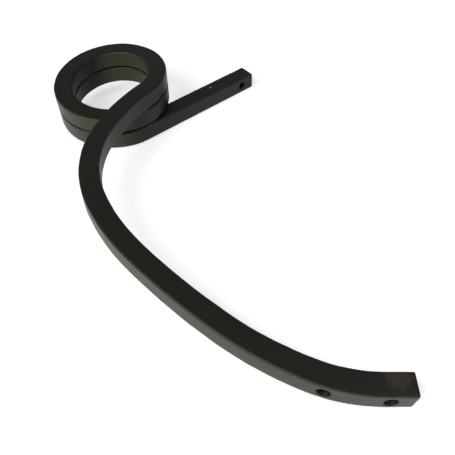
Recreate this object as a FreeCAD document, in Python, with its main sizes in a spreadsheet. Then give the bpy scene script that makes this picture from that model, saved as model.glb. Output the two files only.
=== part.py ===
"""Spring tine: a square bar wound into a pigtail, with a straight mounting arm and a long curved leg."""

import FreeCAD, Part
import Sketcher
import math
import os
from FreeCAD import Vector

# Alias, value (millimetres or degrees) and meaning of every driving size.
SIZES = [
    ("barWidth", 25.0, "width and height of the square bar"),
    ("cornerFlat", 1.5, "flat that stands for the bar's rolled corner"),
    ("cutChamfer", 1.0, "chamfer round both cut ends"),
    ("coilRadius", 67.5, "coil radius, to the middle of the bar"),
    ("turnGap", 1.5, "clearance between one turn of the coil and the next"),
    ("coilAngle", 708.5, "turning of the coil, from the arm to the leg"),
    ("armReach", 180.0, "arm, from the coil to its bolt hole"),
    ("armEdge", 22.0, "arm, from its bolt hole to the cut end"),
    ("armHole", 11.0, "diameter of the arm's bolt hole"),
    ("legLean", 2.4, "sideways lean of the plane that the leg is bent in"),
    ("crossRadius", 286.0, "leg, bend that crosses the front of the coil"),
    ("crossAngle", 20.5, "turning of the crossing bend"),
    ("hookRadius", 160.0, "leg, tight bend beside the coil"),
    ("hookAngle", 42.0, "turning of the tight bend"),
    ("easeRadius", 288.0, "leg, bend that eases out of the tight one"),
    ("easeAngle", 17.7, "turning of the easing bend"),
    ("shankRadius", 790.0, "leg, nearly straight middle"),
    ("shankAngle", 8.9, "turning of the middle"),
    ("lowerRadius", 350.0, "leg, lower bend"),
    ("lowerAngle", 15.5, "turning of the lower bend"),
    ("toeRadius", 170.0, "leg, bend behind the share"),
    ("toeAngle", 23.4, "turning of the bend behind the share"),
    ("toeEnd", 26.0, "leg, straight end"),
    ("shareHole", 13.0, "diameter of the two share bolt holes"),
    ("shareEdge", 23.0, "last share hole to the cut end, along the bar"),
    ("shareSpacing", 57.0, "between the share holes, along the bar"),
]
BENDS = ["cross", "hook", "ease", "shank", "lower", "toe"]
PITCH = "(Sizes.barWidth + Sizes.turnGap)"
# The slope of the coil: the arm runs on down it, and the leg starts up it.
SLOPE = f"atan({PITCH} / (2 * pi * Sizes.coilRadius))"
LEG_HEIGHT = f"{PITCH} * Sizes.coilAngle / 360"


def make_sheet(doc):
    """Writes every driving size into the spreadsheet, with its meaning beside it."""
    sheet = doc.addObject("Spreadsheet::Sheet", "Sizes")
    for row, (alias, value, meaning) in enumerate(SIZES, start=1):
        sheet.set(f"A{row}", alias)
        sheet.set(f"B{row}", str(value))
        sheet.set(f"C{row}", meaning)
        sheet.setAlias(f"B{row}", alias)
    doc.recompute()
    return sheet


def origin_part(body, role):
    """One of the body's own origin planes or axes."""
    return next(item for item in body.Origin.OriginFeatures if item.Role == role)


def new_sketch(body, name, plane, offset=""):
    """A sketch on one of the body's origin planes, moved by an expression where one is given."""
    sketch = body.newObject("Sketcher::SketchObject", name)
    sketch.AttachmentSupport = (origin_part(body, plane), "")
    sketch.MapMode = "FlatFace"
    if offset:
        sketch.setExpression("AttachmentOffset", offset)
    return sketch


def dimension(sketch, kind, *arguments, size):
    """A driving dimension, drawn at the value in arguments and then bound to the sheet."""
    index = sketch.addConstraint(Sketcher.Constraint(kind, *arguments))
    sketch.setExpression(f"Constraints[{index}]", size)


def draw_section(sketch, sizes):
    """The bar's square section with its corners taken off, centred on the coil's radius."""
    half = sizes.barWidth / 2
    flat = half - sizes.cornerFlat
    radius = sizes.coilRadius
    outline = [
        (-flat, -half), (flat, -half), (half, -flat), (half, flat),
        (flat, half), (-flat, half), (-half, flat), (-half, -flat),
    ]
    points = [Vector(x - radius, y, 0) for x, y in outline]
    for start, end in zip(points, points[1:] + points[:1]):
        sketch.addGeometry(Part.LineSegment(start, end), False)
    for edge in range(8):
        sketch.addConstraint(Sketcher.Constraint("Coincident", edge, 2, (edge + 1) % 8, 1))
    bottom, right, top, left = 0, 2, 4, 6
    for edge in (bottom, top):
        sketch.addConstraint(Sketcher.Constraint("Horizontal", edge))
    for edge in (right, left):
        sketch.addConstraint(Sketcher.Constraint("Vertical", edge))
    inner = "Sizes.coilRadius - Sizes.barWidth / 2"
    outer = "Sizes.coilRadius + Sizes.barWidth / 2"
    dimension(sketch, "DistanceX", right, 1, -1, 1, radius - half, size=inner)
    dimension(sketch, "DistanceX", left, 1, -1, 1, radius + half, size=outer)
    dimension(sketch, "DistanceY", bottom, 1, -1, 1, half, size="Sizes.barWidth / 2")
    dimension(sketch, "DistanceY", -1, 1, top, 1, half, size="Sizes.barWidth / 2")
    # Each corner: the ends of its flat, named left to right and then low to high.
    corners = [
        ((bottom, 2, right, 1), (bottom, 2, right, 1)),
        ((top, 1, right, 2), (right, 2, top, 1)),
        ((left, 1, top, 2), (left, 1, top, 2)),
        ((left, 2, bottom, 1), (bottom, 1, left, 2)),
    ]
    for across, upward in corners:
        dimension(sketch, "DistanceX", *across, sizes.cornerFlat, size="Sizes.cornerFlat")
        dimension(sketch, "DistanceY", *upward, sizes.cornerFlat, size="Sizes.cornerFlat")


def make_coil(body, sizes):
    """The pigtail: the section wound clockwise, rising from the arm to the leg."""
    section = new_sketch(body, "CoilSection", "YZ_Plane")
    draw_section(section, sizes)
    coil = body.newObject("PartDesign::AdditiveHelix", "Coil")
    coil.Profile = section
    coil.ReferenceAxis = (origin_part(body, "Z_Axis"), [""])
    coil.Mode = "pitch-turns-angle"
    coil.LeftHanded = True
    coil.setExpression("Pitch", PITCH)
    coil.setExpression("Turns", "Sizes.coilAngle / 360")
    return section


def make_arm(body, section):
    """The straight arm, run out of the coil's first section along the coil's own slope."""
    arm = body.newObject("PartDesign::Pad", "Arm")
    arm.Profile = section
    arm.UseCustomVector = True
    arm.AlongSketchNormal = False
    arm.Direction = Vector(1, 0, 0)
    arm.setExpression("Direction.x", f"cos({SLOPE})")
    arm.setExpression("Direction.z", f"-sin({SLOPE})")
    arm.setExpression("Length", "Sizes.armReach + Sizes.armEdge")


def leg_plane():
    """Expression for the plane of the leg: at the end of the coil, along its tangent and slope."""
    start = (
        "vector(-Sizes.coilRadius * sin(Sizes.coilAngle * 1deg);"
        f" -Sizes.coilRadius * cos(Sizes.coilAngle * 1deg); {LEG_HEIGHT})"
    )
    return f"placement({start}; rotation(180 - Sizes.coilAngle; -{SLOPE}; -Sizes.legLean))"


def draw_leg_path(sketch, sizes):
    """The middle line of the leg: a chain of tangent arcs from the sketch's origin, then a straight."""
    x, y, heading = 0.0, 0.0, 0.0
    previous = None
    for bend in BENDS:
        radius = getattr(sizes, f"{bend}Radius")
        angle = math.radians(getattr(sizes, f"{bend}Angle"))
        centre = Vector(x - radius * math.sin(heading), y + radius * math.cos(heading), 0)
        circle = Part.Circle(centre, Vector(0, 0, 1), radius)
        start = heading - math.pi / 2
        arc = sketch.addGeometry(Part.ArcOfCircle(circle, start, start + angle), False)
        if previous is None:
            sketch.addConstraint(Sketcher.Constraint("Coincident", arc, 1, -1, 1))
            sketch.addConstraint(Sketcher.Constraint("PointOnObject", arc, 3, -2))
        else:
            sketch.addConstraint(Sketcher.Constraint("Tangent", previous, 2, arc, 1))
        dimension(sketch, "Radius", arc, radius, size=f"Sizes.{bend}Radius")
        dimension(sketch, "Angle", arc, angle, size=f"Sizes.{bend}Angle * 1deg")
        heading += angle
        x = centre.x + radius * math.sin(heading)
        y = centre.y - radius * math.cos(heading)
        previous = arc
    along = Vector(math.cos(heading), math.sin(heading), 0) * sizes.toeEnd
    end = sketch.addGeometry(Part.LineSegment(Vector(x, y, 0), Vector(x, y, 0) + along), False)
    sketch.addConstraint(Sketcher.Constraint("Tangent", previous, 2, end, 1))
    dimension(sketch, "Distance", end, sizes.toeEnd, size="Sizes.toeEnd")


def make_leg(body, sizes):
    """The leg, swept from the coil's last section along its path."""
    path = new_sketch(body, "LegPath", "XY_Plane", leg_plane())
    draw_leg_path(path, sizes)
    section_place = f"placement(vector(0; {LEG_HEIGHT}; 0); rotation(0; -Sizes.coilAngle; 0))"
    section = new_sketch(body, "LegSection", "YZ_Plane", section_place)
    draw_section(section, sizes)
    leg = body.newObject("PartDesign::AdditivePipe", "Leg")
    leg.Profile = section
    leg.Spine = (path, [""])
    leg.Mode = "Standard"
    leg.Transition = "Transformed"
    return path


def chamfer_ends(body, path):
    """Breaks the edges of both cut ends: the arm's end and the leg's end."""
    body.Document.recompute()
    leg_end = path.Shape.OrderedVertexes[-1].Point
    bar = body.Tip
    flats = [i for i, face in enumerate(bar.Shape.Faces) if isinstance(face.Surface, Part.Plane)]
    arm_face = max(flats, key=lambda i: bar.Shape.Faces[i].CenterOfMass.x)
    leg_face = min(flats, key=lambda i: (bar.Shape.Faces[i].CenterOfMass - leg_end).Length)
    chamfer = body.newObject("PartDesign::Chamfer", "CutEnds")
    chamfer.Base = (bar, [f"Face{arm_face + 1}", f"Face{leg_face + 1}"])
    chamfer.setExpression("Size", "Sizes.cutChamfer")
    body.Document.recompute()


def drill(body, circle, diameter, size):
    """A bolt hole both ways from a sketch that lies in the middle of the bar."""
    hole = circle.addGeometry(Part.Circle(Vector(0, 0, 0), Vector(0, 0, 1), diameter / 2), False)
    circle.addConstraint(Sketcher.Constraint("Coincident", hole, 3, -1, 1))
    dimension(circle, "Diameter", hole, diameter, size=f"Sizes.{size}")
    pocket = body.newObject("PartDesign::Pocket", f"{circle.Name}Drilling")
    pocket.Profile = circle
    pocket.Midplane = True
    pocket.setExpression("Length", "2 * Sizes.barWidth")


def drill_arm(body, sizes):
    """The arm's bolt hole, in the plane of the coil and square to the arm."""
    place = (
        f"placement(vector(Sizes.armReach * cos({SLOPE}); -Sizes.armReach * sin({SLOPE});"
        " Sizes.coilRadius); rotation(0; 0; 0))"
    )
    drill(body, new_sketch(body, "ArmHole", "XZ_Plane", place), sizes.armHole, "armHole")


def point_from_end(path, distance):
    """The point and direction of the leg's middle line, at a distance along it from its cut end."""
    for edge in reversed(path.Shape.OrderedEdges):
        if distance <= edge.Length:
            parameter = edge.getParameterByLength(edge.Length - distance)
            return edge.valueAt(parameter), edge.tangentAt(parameter)
        distance -= edge.Length
    raise ValueError("the leg is shorter than its share holes need")


def drill_share(body, path, sizes):
    """The two share bolt holes, each square to the bar where it stands."""
    lift = path.Placement.Rotation.multVec(Vector(0, 0, 1))
    for name, distance in (
        ("LowerShareHole", sizes.shareEdge),
        ("UpperShareHole", sizes.shareEdge + sizes.shareSpacing),
    ):
        point, along = point_from_end(path, distance)
        turn = FreeCAD.Rotation(along, lift, Vector(), "XYZ")
        circle = new_sketch(body, name, "XY_Plane")
        circle.AttachmentOffset = FreeCAD.Placement(point, turn)
        drill(body, circle, sizes.shareHole, "shareHole")


def check(doc):
    """Stops if any object failed or the body has no sound shape."""
    for item in doc.Objects:
        if "Invalid" in item.State or "Error" in item.State:
            raise RuntimeError(f"{item.Name} failed: {item.State}")
    for body in doc.findObjects("PartDesign::Body"):
        if body.Shape.isNull() or not body.Shape.isValid() or len(body.Shape.Solids) != 1:
            raise RuntimeError(f"{body.Label} has no single valid solid")


def main():
    doc = FreeCAD.newDocument("SpringTine")
    sizes = make_sheet(doc)
    body = doc.addObject("PartDesign::Body", "SpringTine")
    body.Label = "spring_tine"
    section = make_coil(body, sizes)
    path = make_leg(body, sizes)
    make_arm(body, section)
    chamfer_ends(body, path)
    drill_arm(body, sizes)
    drill_share(body, path, sizes)
    # The arm lies level along X, with its bolt hole at the origin.
    body.setExpression(
        "Placement",
        f"placement(vector(-Sizes.armReach; Sizes.coilRadius; 0); rotation(0; -{SLOPE}; 0))",
    )
    doc.recompute()
    check(doc)
    os.makedirs("parts", exist_ok=True)
    body.Shape.exportStep(f"parts/{body.Label}.step")
    print(f"{body.Label}: {body.Shape.Volume / 1000:.1f} cm3")


main()
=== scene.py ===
import bpy
import bmesh
import math
from mathutils import Euler, Matrix, Vector


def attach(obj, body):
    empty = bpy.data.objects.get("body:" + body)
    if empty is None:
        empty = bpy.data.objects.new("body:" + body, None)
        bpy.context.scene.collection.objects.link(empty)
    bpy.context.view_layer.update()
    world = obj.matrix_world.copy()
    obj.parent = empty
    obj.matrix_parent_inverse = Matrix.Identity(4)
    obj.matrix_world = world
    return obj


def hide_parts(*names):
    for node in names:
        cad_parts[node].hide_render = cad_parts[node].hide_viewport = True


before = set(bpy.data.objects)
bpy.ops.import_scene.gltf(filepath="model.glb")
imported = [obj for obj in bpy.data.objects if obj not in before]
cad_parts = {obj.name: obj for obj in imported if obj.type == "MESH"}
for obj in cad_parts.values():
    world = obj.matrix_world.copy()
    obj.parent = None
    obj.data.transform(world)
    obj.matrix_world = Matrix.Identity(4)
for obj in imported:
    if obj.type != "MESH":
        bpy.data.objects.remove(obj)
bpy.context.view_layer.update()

# Everything below is in metres and degrees, in the tine's own frame:
# the arm's bolt hole at the origin, the arm level along X, the coil rising along Z.

bar = {
    "width": 0.025,
    "cornerRadius": 0.0026,      # rolled corner of the square bar
    "cutRound": 0.0012,          # broken edge round both cut ends
    "cutSections": 6,            # sections round that edge
    "cutClearing": 1.2,          # room kept free for them, in widths of the edge
    "cutRings": (0.0024, 0.0045, 0.007, 0.0095),  # rings of points across a cut's flat
    "step": 0.0016,              # spacing of the sections along the bar
    "sideCuts": 9,               # cuts across each flat side
    "cornerCuts": 4,             # cuts round each corner
    "unevenness": 0.00025,       # depth of the rolled surface's hollows
}
coil = {"radius": 0.0675, "pitch": 0.0265, "angle": 708.5}
arm = {"reach": 0.180, "edge": 0.022, "hole": 0.011}
leg = {
    "lean": 2.4,                 # sideways lean of the leg's plane
    "bends": [                   # radius and turning of each bend, from the coil down
        (0.286, 20.5), (0.160, 42.0), (0.288, 17.7),
        (0.790, 8.9), (0.350, 15.5), (0.170, 23.4),
    ],
    "end": 0.026,
    "hole": 0.013,
    "holeEdge": 0.023,
    "holeSpacing": 0.057,
}
halfBar = bar["width"] / 2
slope = math.atan(coil["pitch"] / (2 * math.pi * coil["radius"]))
toFrame = (
    Matrix.Translation((-arm["reach"], coil["radius"], 0))
    @ Matrix.Rotation(-slope, 4, "Y")
)


# Small helpers for node trees

def addNode(tree, kind, **settings):
    node = tree.nodes.new(kind)
    for name, value in settings.items():
        setattr(node, name, value)
    return node


def plug(tree, source, target):
    # A socket is linked, anything else becomes the input's own value
    if isinstance(source, bpy.types.NodeSocket):
        tree.links.new(source, target)
    else:
        target.default_value = source


def calc(tree, operation, *values):
    node = addNode(tree, "ShaderNodeMath", operation=operation)
    for value, socket in zip(values, node.inputs):
        plug(tree, value, socket)
    return node.outputs[0]


def vectorCalc(tree, operation, first, second=None, scale=None):
    node = addNode(tree, "ShaderNodeVectorMath", operation=operation)
    plug(tree, first, node.inputs[0])
    if second is not None:
        plug(tree, second, node.inputs[1])
    if scale is not None:
        plug(tree, scale, node.inputs["Scale"])
    return node.outputs[0]


def remap(tree, value, low, high, toLow=0.0, toHigh=1.0):
    node = addNode(tree, "ShaderNodeMapRange", clamp=True, interpolation_type="SMOOTHSTEP")
    for source, socket in zip((value, low, high, toLow, toHigh), node.inputs):
        plug(tree, source, socket)
    return node.outputs[0]


# The middle line of the bar, from the arm's cut end to the leg's cut end

def steps(length):
    return max(2, round(length / bar["step"]))


def armStations():
    # The arm keeps the coil's first section, and runs down its slope
    length = arm["reach"] + arm["edge"]
    count = steps(length)
    down = Vector((math.cos(slope), 0, -math.sin(slope)))
    for i in range(count):
        away = length * (1 - i / count)
        yield Vector((0, -coil["radius"], 0)) + down * away, Vector((0, -1, 0)), Vector((0, 0, 1))


def coilStations():
    count = steps(math.radians(coil["angle"]) * coil["radius"])
    for i in range(count):
        turned = coil["angle"] * i / count
        angle = math.radians(-90 - turned)
        out = Vector((math.cos(angle), math.sin(angle), 0))
        rise = Vector((0, 0, coil["pitch"] * turned / 360))
        yield out * coil["radius"] + rise, out, Vector((0, 0, 1))


def legStations():
    # The leg is bent in a plane of its own, which starts along the coil's tangent and slope
    ending = math.radians(-90 - coil["angle"])
    out = Vector((math.cos(ending), math.sin(ending), 0))
    start = out * coil["radius"] + Vector((0, 0, coil["pitch"] * coil["angle"] / 360))
    turn = Euler((
        -math.radians(leg["lean"]), -slope, math.radians(180 - coil["angle"]),
    )).to_matrix()
    along, across, normal = (turn @ Vector(axis) for axis in ((1, 0, 0), (0, 1, 0), (0, 0, 1)))

    def station(x, y, heading):
        bend = Matrix.Rotation(heading, 3, normal)
        return start + along * x + across * y, bend @ out, bend @ Vector((0, 0, 1))

    x, y, heading = 0.0, 0.0, 0.0
    for radius, degrees in leg["bends"]:
        turning = math.radians(degrees)
        centreX = x - radius * math.sin(heading)
        centreY = y + radius * math.cos(heading)
        count = steps(radius * turning)
        for i in range(count):
            now = heading + turning * i / count
            yield station(centreX + radius * math.sin(now), centreY - radius * math.cos(now), now)
        heading += turning
        x = centreX + radius * math.sin(heading)
        y = centreY - radius * math.cos(heading)
    count = steps(leg["end"])
    for i in range(count + 1):
        away = leg["end"] * i / count
        yield station(x + away * math.cos(heading), y + away * math.sin(heading), heading)


def roundedEnd(stations, travelled):
    # Replaces the outermost stations by the broken edge and the flat of the cut
    place, out, up, inset = stations[-1]
    inward = (stations[-2][0] - place).normalized()
    rounding = bar["cutRound"]
    full = travelled[-1]
    while (stations[-1][0] - place).length < rounding * bar["cutClearing"]:
        stations.pop()
        travelled.pop()
    last = bar["cutSections"] - 1
    for i in range(bar["cutSections"]):
        angle = math.radians(90 * i / last)
        back = rounding * (1 - math.sin(angle))
        stations.append((place + inward * back, out, up, rounding * (1 - math.cos(angle))))
        travelled.append(full - back)
    for ring in (*bar["cutRings"], halfBar):
        stations.append((place, out, up, ring))
        travelled.append(full + ring)


def middleLine():
    stations = [
        (*station, 0.0)
        for part in (armStations(), coilStations(), legStations())
        for station in part
    ]
    travelled = [0.0]
    for previous, station in zip(stations, stations[1:]):
        travelled.append(travelled[-1] + (station[0] - previous[0]).length)
    total = travelled[-1]
    for _ in range(2):
        roundedEnd(stations, travelled)
        stations.reverse()
        travelled = [total - away for away in reversed(travelled)]
    mesh = bpy.data.meshes.new("middleLine")
    mesh.from_pydata([toFrame @ place for place, *rest in stations], [], [])
    spin = toFrame.to_3x3()
    for name, kind, key, values in (
        ("sectionOut", "FLOAT_VECTOR", "vector", [spin @ station[1] for station in stations]),
        ("sectionUp", "FLOAT_VECTOR", "vector", [spin @ station[2] for station in stations]),
        ("inset", "FLOAT", "value", [(station[3],) for station in stations]),
        ("travelled", "FLOAT", "value", [(away,) for away in travelled]),
    ):
        layer = mesh.attributes.new(name, kind, "POINT")
        layer.data.foreach_set(key, [part for value in values for part in value])
    return mesh, stations, travelled


# Geometry Nodes: a rounded square carried along the middle line

surface = {
    "hollowScale": 42.0,         # how closely the rolled surface's hollows lie
    "hollowDetail": 2.0,
    "hollowRoughness": 0.55,
    "hollowFrom": 0.30,          # noise at which a hollow begins, and is deepest
    "hollowTo": 0.70,
    "edgeFrom": 0.0042,          # distance from a side at which wear begins, and is full
    "edgeTo": 0.0009,
    "cutFull": 0.0004,           # inset at which a broken edge is fully worn
    "cutGone": 0.0030,           # inset at which the wear has gone from a cut's flat
    "sameColumn": 0.1,
    "mergeDistance": 0.00001,
}


def sweepTree():
    tree = bpy.data.node_groups.new("sweptBar", "GeometryNodeTree")
    face = tree.interface
    face.new_socket("Geometry", in_out="INPUT", socket_type="NodeSocketGeometry")
    for name, kind, value in (
        ("Bar Width", "NodeSocketFloat", bar["width"]),
        ("Corner Radius", "NodeSocketFloat", bar["cornerRadius"]),
        ("Corner Cuts", "NodeSocketInt", bar["cornerCuts"]),
        ("Side Cuts", "NodeSocketInt", bar["sideCuts"]),
        ("Unevenness", "NodeSocketFloat", bar["unevenness"]),
        ("Paint", "NodeSocketMaterial", None),
    ):
        socket = face.new_socket(name, in_out="INPUT", socket_type=kind)
        if value is not None:
            socket.default_value = value
    face.new_socket("Geometry", in_out="OUTPUT", socket_type="NodeSocketGeometry")
    given = addNode(tree, "NodeGroupInput")
    width = given.outputs["Bar Width"]
    line = given.outputs["Geometry"]

    def whole(operation, first, second):
        node = addNode(tree, "FunctionNodeIntegerMath", operation=operation)
        plug(tree, first, node.inputs[0])
        plug(tree, second, node.inputs[1])
        return node.outputs[0]

    def countOf(geometry, component):
        size = addNode(tree, "GeometryNodeAttributeDomainSize", component=component)
        plug(tree, geometry, size.inputs[0])
        return size.outputs["Point Count"]

    def sample(geometry, kind, field, index):
        node = addNode(tree, "GeometryNodeSampleIndex", data_type=kind, domain="POINT")
        plug(tree, geometry, node.inputs["Geometry"])
        plug(tree, field, node.inputs["Value"])
        plug(tree, index, node.inputs["Index"])
        return node.outputs[0]

    def named(name, kind):
        node = addNode(tree, "GeometryNodeInputNamedAttribute", data_type=kind)
        node.inputs["Name"].default_value = name
        return node.outputs["Attribute"]

    # The section: a filleted square, with cuts on the four long sides only
    square = addNode(tree, "GeometryNodeCurvePrimitiveQuadrilateral", mode="RECTANGLE")
    plug(tree, width, square.inputs["Width"])
    plug(tree, width, square.inputs["Height"])
    fillet = addNode(tree, "GeometryNodeFilletCurve", mode="POLY")
    plug(tree, square.outputs[0], fillet.inputs["Curve"])
    plug(tree, given.outputs["Corner Cuts"], fillet.inputs["Count"])
    plug(tree, given.outputs["Corner Radius"], fillet.inputs["Radius"])
    number = addNode(tree, "GeometryNodeInputIndex").outputs[0]
    ofCorner = whole("MODULO", number, whole("ADD", given.outputs["Corner Cuts"], 1))
    lastOfCorner = calc(tree, "COMPARE", ofCorner, given.outputs["Corner Cuts"],
                        surface["sameColumn"])
    divide = addNode(tree, "GeometryNodeSubdivideCurve")
    plug(tree, fillet.outputs[0], divide.inputs["Curve"])
    sideCuts = calc(tree, "MULTIPLY", lastOfCorner, given.outputs["Side Cuts"])
    plug(tree, sideCuts, divide.inputs["Cuts"])
    section = divide.outputs[0]

    # A flat grid, one row for each station and one column for each point of the section
    sectionCount = countOf(section, "CURVE")
    columns = whole("ADD", sectionCount, 1)
    grid = addNode(tree, "GeometryNodeMeshGrid")
    plug(tree, countOf(line, "MESH"), grid.inputs["Vertices X"])
    plug(tree, columns, grid.inputs["Vertices Y"])
    station = whole("DIVIDE_FLOOR", number, columns)
    column = whole("MODULO", number, columns)
    sectionPoint = whole("MODULO", column, sectionCount)

    place = addNode(tree, "GeometryNodeInputPosition").outputs[0]
    middle = sample(line, "FLOAT_VECTOR", place, station)
    out = sample(line, "FLOAT_VECTOR", named("sectionOut", "FLOAT_VECTOR"), station)
    up = sample(line, "FLOAT_VECTOR", named("sectionUp", "FLOAT_VECTOR"), station)
    inset = sample(line, "FLOAT", named("inset", "FLOAT"), station)
    travelled = sample(line, "FLOAT", named("travelled", "FLOAT"), station)
    corner = sample(section, "FLOAT_VECTOR", place, sectionPoint)
    half = calc(tree, "DIVIDE", width, 2.0)
    shrink = calc(tree, "SUBTRACT", 1.0, calc(tree, "DIVIDE", inset, half))
    parts = addNode(tree, "ShaderNodeSeparateXYZ")
    plug(tree, vectorCalc(tree, "SCALE", corner, scale=shrink), parts.inputs[0])
    swept = vectorCalc(tree, "ADD", middle, vectorCalc(
        tree, "ADD",
        vectorCalc(tree, "SCALE", out, scale=parts.outputs["X"]),
        vectorCalc(tree, "SCALE", up, scale=parts.outputs["Y"]),
    ))

    # The rolled surface's hollows, always inwards, so that the bar keeps inside its size
    noise = addNode(tree, "ShaderNodeTexNoise", noise_dimensions="3D")
    plug(tree, swept, noise.inputs["Vector"])
    plug(tree, surface["hollowScale"], noise.inputs["Scale"])
    plug(tree, surface["hollowDetail"], noise.inputs["Detail"])
    plug(tree, surface["hollowRoughness"], noise.inputs["Roughness"])
    depth = remap(tree, noise.outputs[0], surface["hollowFrom"], surface["hollowTo"])
    hollow = calc(tree, "MULTIPLY", depth, given.outputs["Unevenness"])
    inwards = vectorCalc(
        tree, "SCALE", vectorCalc(tree, "SUBTRACT", swept, middle),
        scale=calc(tree, "DIVIDE", hollow, half),
    )
    moved = addNode(tree, "GeometryNodeSetPosition")
    plug(tree, grid.outputs["Mesh"], moved.inputs["Geometry"])
    plug(tree, vectorCalc(tree, "SUBTRACT", swept, inwards), moved.inputs["Position"])

    # How near each point is to an edge, and a map meant to run along and round the bar.
    # The map is stored on corners, where the Index node counts corners, so it strays from the bar.
    around = calc(tree, "MULTIPLY", calc(tree, "DIVIDE", column, sectionCount),
                  calc(tree, "MULTIPLY", width, 4.0))
    mapped = addNode(tree, "ShaderNodeCombineXYZ")
    plug(tree, travelled, mapped.inputs["X"])
    plug(tree, around, mapped.inputs["Y"])
    sides = addNode(tree, "ShaderNodeSeparateXYZ")
    plug(tree, corner, sides.inputs[0])
    nearest = calc(tree, "MINIMUM", calc(tree, "ABSOLUTE", sides.outputs["X"]),
                   calc(tree, "ABSOLUTE", sides.outputs["Y"]))
    onCorner = remap(tree, nearest, calc(tree, "SUBTRACT", half, surface["edgeFrom"]),
                     calc(tree, "SUBTRACT", half, surface["edgeTo"]))
    onCut = calc(tree, "MULTIPLY", remap(tree, inset, 0.0, surface["cutFull"]),
                 remap(tree, inset, bar["cutRound"], surface["cutGone"], 1.0, 0.0))
    kept = moved.outputs[0]
    for name, kind, domain, value in (
        ("barMap", "FLOAT2", "CORNER", mapped.outputs[0]),
        ("edge", "FLOAT", "POINT", calc(tree, "MAXIMUM", onCorner, onCut)),
    ):
        store = addNode(tree, "GeometryNodeStoreNamedAttribute", data_type=kind, domain=domain)
        store.inputs["Name"].default_value = name
        plug(tree, kept, store.inputs["Geometry"])
        plug(tree, value, store.inputs["Value"])
        kept = store.outputs[0]

    merge = addNode(tree, "GeometryNodeMergeByDistance")
    plug(tree, kept, merge.inputs["Geometry"])
    plug(tree, surface["mergeDistance"], merge.inputs["Distance"])
    smooth = addNode(tree, "GeometryNodeSetShadeSmooth")
    plug(tree, merge.outputs[0], smooth.inputs["Geometry"])
    real = addNode(tree, "GeometryNodeRealizeInstances")
    plug(tree, smooth.outputs[0], real.inputs[0])
    painted = addNode(tree, "GeometryNodeSetMaterial")
    plug(tree, real.outputs[0], painted.inputs["Geometry"])
    plug(tree, given.outputs["Paint"], painted.inputs["Material"])
    end = addNode(tree, "NodeGroupOutput")
    plug(tree, painted.outputs[0], end.inputs[0])
    return tree


def plainMesh(piece, name):
    # The evaluated result as a mesh of its own, with the modifiers gone
    evaluated = piece.evaluated_get(bpy.context.evaluated_depsgraph_get())
    mesh = bpy.data.meshes.new_from_object(evaluated)
    mesh.name = name
    piece.modifiers.clear()
    piece.data = mesh


def sweepBar(paint):
    mesh, stations, travelled = middleLine()
    piece = bpy.data.objects.new("springTine", mesh)
    bpy.context.scene.collection.objects.link(piece)
    sweep = piece.modifiers.new("sweptBar", "NODES")
    sweep.node_group = sweepTree()
    inputs = {item.name: item.identifier for item in sweep.node_group.interface.items_tree}
    sweep[inputs["Paint"]] = paint
    plainMesh(piece, "springTine")
    return piece, stations, travelled


# The bolt holes: each cutter is a turned pin that opens out into a rounded rim

holes = {
    "rim": 0.0009,               # rounding where a hole meets the bar's side
    "rimSteps": 6,
    "sides": 72,
    "mouth": 0.0004,             # the rim keeps its full width this far outside the bar
    "cutterReach": 1.5,          # half the cutter's length, in halves of the bar
}


def holePlaces(stations, travelled):
    places = [(Vector((0, 0, 0)), Vector((0, 1, 0)), arm["hole"] / 2)]
    for back in (leg["holeEdge"], leg["holeEdge"] + leg["holeSpacing"]):
        reach = travelled[-1] - halfBar - back
        index = next(i for i, away in enumerate(travelled) if away >= reach)
        share = (reach - travelled[index - 1]) / (travelled[index] - travelled[index - 1])
        before, after = stations[index - 1], stations[index]
        centre = toFrame @ before[0].lerp(after[0], share)
        axis = toFrame.to_3x3() @ before[1].lerp(after[1], share)
        places.append((centre, axis.normalized(), leg["hole"] / 2))
    return places


def cutterMesh(places, boreWall):
    rim, sides = holes["rim"], holes["sides"]
    turned = bmesh.new()
    for centre, axis, radius in places:
        profile = [
            (halfBar * holes["cutterReach"], radius + rim),
            (halfBar + holes["mouth"], radius + rim),
        ]
        for i in range(holes["rimSteps"] + 1):
            angle = math.radians(90 * i / holes["rimSteps"])
            profile.append((halfBar - rim * math.sin(angle), radius + rim * (1 - math.sin(angle))))
        profile += [(-away, size) for away, size in reversed(profile)]
        turn = Vector((0, 0, 1)).rotation_difference(axis).to_matrix()
        rings = []
        for away, size in profile:
            circle = [2 * math.pi * i / sides for i in range(sides)]
            rings.append([
                turned.verts.new(
                    centre + turn @ Vector((size * math.cos(angle), size * math.sin(angle), away))
                )
                for angle in circle
            ])
        for lower, upper in zip(rings, rings[1:]):
            for i in range(sides):
                turned.faces.new((lower[i], lower[i - 1], upper[i - 1], upper[i]))
        turned.faces.new(rings[0])
        turned.faces.new(reversed(rings[-1]))
    bmesh.ops.recalc_face_normals(turned, faces=turned.faces)
    for side in turned.faces:
        side.smooth = True
    mesh = bpy.data.meshes.new("holeCutters")
    turned.to_mesh(mesh)
    turned.free()
    mesh.materials.append(boreWall)
    return mesh


def drillHoles(piece, places, boreWall):
    cutter = bpy.data.objects.new("holeCutters", cutterMesh(places, boreWall))
    bpy.context.scene.collection.objects.link(cutter)
    cut = piece.modifiers.new("holes", "BOOLEAN")
    cut.operation = "DIFFERENCE"
    cut.solver = "EXACT"
    cut.object = cutter
    cut.material_mode = "TRANSFER"
    plainMesh(piece, "springTine")
    bpy.data.objects.remove(cutter)


# Materials

def groupOf(name, inputs, output):
    # An empty shader node group, with its input and output nodes
    tree = bpy.data.node_groups.new(name, "ShaderNodeTree")
    for label, kind, value in inputs:
        socket = tree.interface.new_socket(label, in_out="INPUT", socket_type=kind)
        if value is not None:
            socket.default_value = value
    tree.interface.new_socket(output, in_out="OUTPUT", socket_type="NodeSocketFloat")
    return tree, addNode(tree, "NodeGroupInput"), addNode(tree, "NodeGroupOutput")


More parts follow.
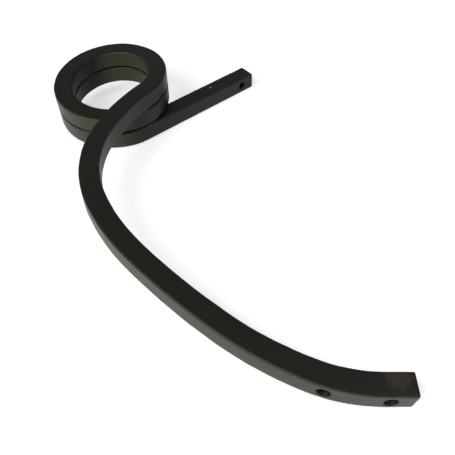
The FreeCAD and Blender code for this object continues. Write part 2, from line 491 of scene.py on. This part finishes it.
def noiseOf(tree, vector, scale, detail=4.0, roughness=0.6):
    node = addNode(tree, "ShaderNodeTexNoise", noise_dimensions="3D")
    for name, source in (
        ("Vector", vector), ("Scale", scale), ("Detail", detail), ("Roughness", roughness),
    ):
        plug(tree, source, node.inputs[name])
    return node.outputs[0]


def grainGroup():
    # Fine sprayed grain over the shallow scale of the hot-rolled bar
    grain = {"fineDetail": 3.0, "fineShare": 0.35, "markDetail": 5.0, "marks": (0.42, 0.62)}
    tree, given, end = groupOf("paintGrain", (
        ("Vector", "NodeSocketVector", None),
        ("Grain Scale", "NodeSocketFloat", 900.0),
        ("Scale Marks", "NodeSocketFloat", 150.0),
    ), "Height")
    fine = noiseOf(tree, given.outputs["Vector"], given.outputs["Grain Scale"],
                   grain["fineDetail"])
    marks = noiseOf(tree, given.outputs["Vector"], given.outputs["Scale Marks"],
                    grain["markDetail"])
    height = calc(tree, "ADD", calc(tree, "MULTIPLY", fine, grain["fineShare"]),
                  remap(tree, marks, *grain["marks"]))
    plug(tree, height, end.inputs[0])
    return tree


def speckGroup():
    # Scattered small chips and specks of dust, with broken outlines
    speck = {"breakScale": 1400.0, "breakDetail": 2.0, "breakShare": 0.3, "outline": (0.26, 0.38)}
    tree, given, end = groupOf("specks", (
        ("Vector", "NodeSocketVector", None),
        ("Size", "NodeSocketFloat", 160.0),
        ("Amount", "NodeSocketFloat", 0.05),
    ), "Mask")
    cells = addNode(tree, "ShaderNodeTexVoronoi", feature="F1")
    plug(tree, given.outputs["Vector"], cells.inputs["Vector"])
    plug(tree, given.outputs["Size"], cells.inputs["Scale"])
    parts = addNode(tree, "ShaderNodeSeparateColor")
    plug(tree, cells.outputs["Color"], parts.inputs[0])
    chosen = calc(tree, "LESS_THAN", parts.outputs[0], given.outputs["Amount"])
    broken = noiseOf(tree, given.outputs["Vector"], speck["breakScale"], speck["breakDetail"])
    away = calc(tree, "ADD", cells.outputs["Distance"],
                calc(tree, "MULTIPLY", broken, speck["breakShare"]))
    near = remap(tree, away, *speck["outline"], 1.0, 0.0)
    plug(tree, calc(tree, "MULTIPLY", near, chosen), end.inputs[0])
    return tree


def wornGroup():
    # Where an edge has lost some of its paint
    wear = {
        "patches": (60.0, 6.0, 0.7),     # scale, detail and roughness
        "level": 0.78,                   # noise above this is worn when the amount is none
        "drop": 0.35,                    # and this much lower when it is full
        "softness": 0.10,
        "edge": (0.55, 0.95),
    }
    tree, given, end = groupOf("edgeWear", (
        ("Vector", "NodeSocketVector", None),
        ("Edge", "NodeSocketFloat", 0.0),
        ("Amount", "NodeSocketFloat", 0.5),
    ), "Mask")
    patches = noiseOf(tree, given.outputs["Vector"], *wear["patches"])
    level = calc(tree, "SUBTRACT", wear["level"],
                 calc(tree, "MULTIPLY", given.outputs["Amount"], wear["drop"]))
    worn = remap(tree, patches, level, calc(tree, "ADD", level, wear["softness"]))
    onEdge = remap(tree, given.outputs["Edge"], *wear["edge"])
    plug(tree, calc(tree, "MULTIPLY", worn, onEdge), end.inputs[0])
    return tree


def useGroup(tree, group, **values):
    node = addNode(tree, "ShaderNodeGroup", node_tree=group)
    for name, value in values.items():
        plug(tree, value, node.inputs[name.replace("_", " ")])
    return node.outputs[0]


def blend(tree, mask, first, second):
    node = addNode(tree, "ShaderNodeMix", data_type="RGBA")
    plug(tree, mask, node.inputs["Factor"])
    plug(tree, first, node.inputs["A"])
    plug(tree, second, node.inputs["B"])
    return node.outputs["Result"]


def emptyMaterial(name):
    material = bpy.data.materials.new(name)
    material.use_nodes = True
    tree = material.node_tree
    return material, tree, tree.nodes["Principled BSDF"]


def spotMask(tree, place, centre, radius, ragged):
    # A ragged round patch about a point
    away = vectorCalc(tree, "SUBTRACT", place, centre)
    node = addNode(tree, "ShaderNodeVectorMath", operation="LENGTH")
    plug(tree, away, node.inputs[0])
    outline = {"noise": (260.0, 5.0, 0.7), "evenLevel": 0.5, "core": 0.4}
    uneven = noiseOf(tree, place, *outline["noise"])
    rough = calc(tree, "MULTIPLY", calc(tree, "SUBTRACT", uneven, outline["evenLevel"]), ragged)
    distance = calc(tree, "ADD", node.outputs["Value"], rough)
    return remap(tree, distance, radius * outline["core"], radius, 1.0, 0.0)


def blackPaint(groups):
    look = {
        "coilBlack": (0.0062, 0.0062, 0.0042, 1),   # olive black round the coil
        "toeBlack": (0.0042, 0.0062, 0.0055, 1),    # cooler black towards the toe
        "coilLitSide": (0.044, 0.041, 0.024, 1),       # painted light: the same paint, lighter and tinted on the side that faces the light
        "toeLitSide": (0.030, 0.066, 0.054, 1),
        "wornEdge": (0.075, 0.078, 0.066, 1),
        "rub": (0.045, 0.028, 0.016, 1),
        "speck": (0.22, 0.20, 0.16, 1),
        "rubPlace": (-0.2490, -0.4840, 0.0525),
        "rubSize": (0.016, 0.020),                  # radius and raggedness
        "rubAmount": 0.5,
        # painted light: the direction of the light, and faces turned this way get the lighter paint
        "lightSide": (-0.90, -0.42, 0.0),
        "lightFacing": (0.42, 0.90),              # a face is painted lighter between these, as it turns towards the light
        "litLeast": 0.62,
        "litMottle": 0.7,
        "mottle": (34.0, 6.0, 0.65),                # scale, detail and roughness
        "toeward": (1.02, 1.42),                    # lengths along the bar where the tint changes
        "drawnStretch": (12.0, 420.0, 1.0),
        "drawnDetail": 3.0,
        "drawnLines": (0.5, 0.8),
        "drawnAmount": 0.10,
        "edgeWear": 0.55,
        "speckSize": 95.0,
        "speckShare": 0.012,
        "chipStrength": 0.8,
        "shine": 0.34,
        "shineMottle": 0.22,
        "shineDust": 0.2,
        "gloss": 0.20,
        "grain": (900.0, 150.0),                    # scales of the grain and of the scale marks
        "wearDepth": 0.3,
        "bumpStrength": 0.35,
        "bumpDepth": 0.00012,
    }
    material, tree, shader = emptyMaterial("blackPaint")
    place = addNode(tree, "ShaderNodeTexCoord").outputs["Object"]
    barMap = addNode(tree, "ShaderNodeUVMap", uv_map="barMap").outputs["UV"]
    along = addNode(tree, "ShaderNodeSeparateXYZ")
    plug(tree, barMap, along.inputs[0])
    edge = addNode(tree, "ShaderNodeAttribute", attribute_name="edge").outputs["Fac"]
    normal = addNode(tree, "ShaderNodeNewGeometry").outputs["Normal"]
    toeward = remap(tree, along.outputs["X"], *look["toeward"])
    facing = addNode(tree, "ShaderNodeVectorMath", operation="DOT_PRODUCT")
    plug(tree, normal, facing.inputs[0])
    facing.inputs[1].default_value = look["lightSide"]
    mottle = noiseOf(tree, place, *look["mottle"])
    streaks = addNode(tree, "ShaderNodeMapping")
    plug(tree, barMap, streaks.inputs["Vector"])
    streaks.inputs["Scale"].default_value = look["drawnStretch"]
    drawn = noiseOf(tree, streaks.outputs[0], 1.0, look["drawnDetail"])
    # painted light: faces turned towards the light get a lighter, tinted copy of the paint, mottled by
    # noise
    litFaces = calc(tree, "MULTIPLY", remap(tree, facing.outputs["Value"], *look["lightFacing"]),
                 calc(tree, "ADD", look["litLeast"],
                      calc(tree, "MULTIPLY", mottle, look["litMottle"])))
    plainBlack = blend(tree, toeward, look["coilBlack"], look["toeBlack"])
    colour = blend(tree, litFaces, plainBlack, blend(tree, toeward, look["coilLitSide"], look["toeLitSide"]))
    lines = calc(tree, "MULTIPLY", remap(tree, drawn, *look["drawnLines"]), look["drawnAmount"])
    # the drawn lines along the bar take the colour of the painted light on the coil
    colour = blend(tree, lines, colour, look["coilLitSide"])
    rubbed = spotMask(tree, place, look["rubPlace"], *look["rubSize"])
    rub = calc(tree, "MULTIPLY", rubbed, look["rubAmount"])
    colour = blend(tree, rub, colour, look["rub"])
    worn = useGroup(tree, groups["worn"], Vector=place, Edge=edge, Amount=look["edgeWear"])
    colour = blend(tree, calc(tree, "MULTIPLY", worn, look["chipStrength"]), colour, look["wornEdge"])
    specks = useGroup(tree, groups["specks"], Vector=place,
                      Size=look["speckSize"], Amount=look["speckShare"])
    colour = blend(tree, calc(tree, "MULTIPLY", specks, look["chipStrength"]), colour, look["speck"])
    plug(tree, colour, shader.inputs["Base Color"])
    shine = calc(tree, "ADD", look["shine"], calc(tree, "MULTIPLY", mottle, look["shineMottle"]))
    dusty = calc(tree, "MULTIPLY", calc(tree, "ADD", rub, specks), look["shineDust"])
    plug(tree, calc(tree, "ADD", shine, dusty), shader.inputs["Roughness"])
    shader.inputs["Specular IOR Level"].default_value = look["gloss"]
    height = useGroup(tree, groups["grain"], Vector=place,
                      Grain_Scale=look["grain"][0], Scale_Marks=look["grain"][1])
    lost = calc(tree, "MULTIPLY", calc(tree, "ADD", worn, drawn), look["wearDepth"])
    height = calc(tree, "SUBTRACT", height, lost)
    bump = addNode(tree, "ShaderNodeBump")
    bump.inputs["Strength"].default_value = look["bumpStrength"]
    bump.inputs["Distance"].default_value = look["bumpDepth"]
    plug(tree, height, bump.inputs["Height"])
    plug(tree, bump.outputs[0], shader.inputs["Normal"])
    return material


def boreSteel(groups):
    look = {
        "steel": (0.004, 0.0045, 0.004, 1),
        "speck": (0.16, 0.15, 0.12, 1),
        "speckSize": 330.0,
        "speckShare": 0.06,
        "shine": 0.5,
        "gloss": 0.20,
        "grain": (700.0, 260.0),         # scales of the grain and of the scale marks
        "bumpStrength": 0.5,
        "bumpDepth": 0.0001,
    }
    material, tree, shader = emptyMaterial("boreWall")
    place = addNode(tree, "ShaderNodeTexCoord").outputs["Object"]
    specks = useGroup(tree, groups["specks"], Vector=place,
                      Size=look["speckSize"], Amount=look["speckShare"])
    plug(tree, blend(tree, specks, look["steel"], look["speck"]), shader.inputs["Base Color"])
    shader.inputs["Roughness"].default_value = look["shine"]
    shader.inputs["Specular IOR Level"].default_value = look["gloss"]
    bump = addNode(tree, "ShaderNodeBump")
    bump.inputs["Strength"].default_value = look["bumpStrength"]
    bump.inputs["Distance"].default_value = look["bumpDepth"]
    height = useGroup(tree, groups["grain"], Vector=place,
                      Grain_Scale=look["grain"][0], Scale_Marks=look["grain"][1])
    plug(tree, height, bump.inputs["Height"])
    plug(tree, bump.outputs[0], shader.inputs["Normal"])
    return material


# Stage, lights and camera

def addFloor(piece):
    # The tine rests on the arm's lower front edge and the leg's tip
    ground = {
        "size": 3.2,
        "middle": (-0.17, -0.18, 0),
        "armFrom": -0.10,                # the arm's points are past this X
        "legFrom": -0.2,                 # and the leg's are short of this Y
        "frontPull": 0.05,               # picks the front one of the arm's two lower edges
        "white": (0.8, 0.8, 0.8, 1),
        "roughness": 0.9,
        "glow": 0.45,
    }
    size = ground["size"]
    points = [vertex.co for vertex in piece.data.vertices]
    armEdge = min(
        (point for point in points if point.x > ground["armFrom"]),
        key=lambda point: point.z + ground["frontPull"] * point.y,
    )
    lean = min(
        math.atan2(point.z - armEdge.z, armEdge.y - point.y)
        for point in points if point.y < ground["legFrom"]
    )
    turn = Matrix.Rotation(-lean, 3, "X")
    middle = Vector(ground["middle"])
    middle.z = armEdge.z + (armEdge.y - middle.y) * math.tan(lean)
    corners = [
        middle + turn @ Vector((x * size, y * size, 0))
        for x, y in ((-1, -1), (1, -1), (1, 1), (-1, 1))
    ]
    floor = bpy.data.meshes.new("floor")
    floor.from_pydata(corners, [], [(0, 1, 2, 3)])
    thing = bpy.data.objects.new("floor", floor)
    bpy.context.scene.collection.objects.link(thing)
    material, tree, shader = emptyMaterial("whiteFloor")
    shader.inputs["Base Color"].default_value = ground["white"]
    shader.inputs["Roughness"].default_value = ground["roughness"]
    shader.inputs["Specular IOR Level"].default_value = 0.0
    rays = addNode(tree, "ShaderNodeLightPath")
    reflected = calc(tree, "MAXIMUM", rays.outputs["Is Glossy Ray"], rays.outputs["Is Transmission Ray"])
    seen = calc(tree, "MAXIMUM", rays.outputs["Is Camera Ray"], reflected)
    shader.inputs["Emission Color"].default_value = (1, 1, 1, 1)
    plug(tree, calc(tree, "MULTIPLY", seen, ground["glow"]), shader.inputs["Emission Strength"])
    floor.materials.append(material)
    print("floor leans", round(math.degrees(lean), 2))


def addLights():
    light = {
        "surround": 0.35,                # strength of the white world on the object
        "backdrop": 0.65,                # added to it where the camera sees the world
        "aim": (-0.2, -0.15, 0.02),
        "lamps": (                       # name, place, size and power
            ("keyLight", (-1.5, -0.2, 1.2), 1.2, 26.0),
            ("fillLight", (0.6, -1.4, 1.6), 1.6, 14.0),
        ),
    }
    world = bpy.data.worlds.new("world")
    bpy.context.scene.world = world
    world.use_nodes = True
    tree = world.node_tree
    background = tree.nodes["Background"]
    rays = addNode(tree, "ShaderNodeLightPath")
    backdrop = calc(tree, "MULTIPLY", rays.outputs["Is Camera Ray"], light["backdrop"])
    plug(tree, calc(tree, "ADD", light["surround"], backdrop), background.inputs["Strength"])
    background.inputs["Color"].default_value = (1, 1, 1, 1)
    for name, place, size, power in light["lamps"]:
        lamp = bpy.data.lights.new(name, "AREA")
        lamp.size = size
        lamp.energy = power
        thing = bpy.data.objects.new(name, lamp)
        thing.location = place
        aim = Vector(light["aim"]) - Vector(place)
        thing.rotation_euler = aim.to_track_quat("-Z", "Y").to_euler()
        bpy.context.scene.collection.objects.link(thing)


def addCamera():
    shot = {
        "place": (-0.53163, -0.55233, 0.52168),
        "turn": (41.4856, -1.5348, -41.7854),
        "lens": 45.356,
        "sensor": 36.0,
    }
    camera = bpy.data.cameras.new("camera")
    camera.sensor_width = shot["sensor"]
    camera.lens = shot["lens"]
    thing = bpy.data.objects.new("camera", camera)
    thing.location = shot["place"]
    thing.rotation_euler = [math.radians(degrees) for degrees in shot["turn"]]
    bpy.context.scene.collection.objects.link(thing)
    bpy.context.scene.camera = thing


print("sweeping the bar")
groups = {"grain": grainGroup(), "specks": speckGroup(), "worn": wornGroup()}
tine, stations, travelled = sweepBar(blackPaint(groups))
print("drilling the bolt holes")
drillHoles(tine, holePlaces(stations, travelled), boreSteel(groups))
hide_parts("spring_tine")
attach(tine, "root")
print("faces", len(tine.data.polygons))
print("setting the floor, lights and camera")
addFloor(tine)
addLights()
addCamera()
bpy.context.scene.view_settings.view_transform = "Standard"
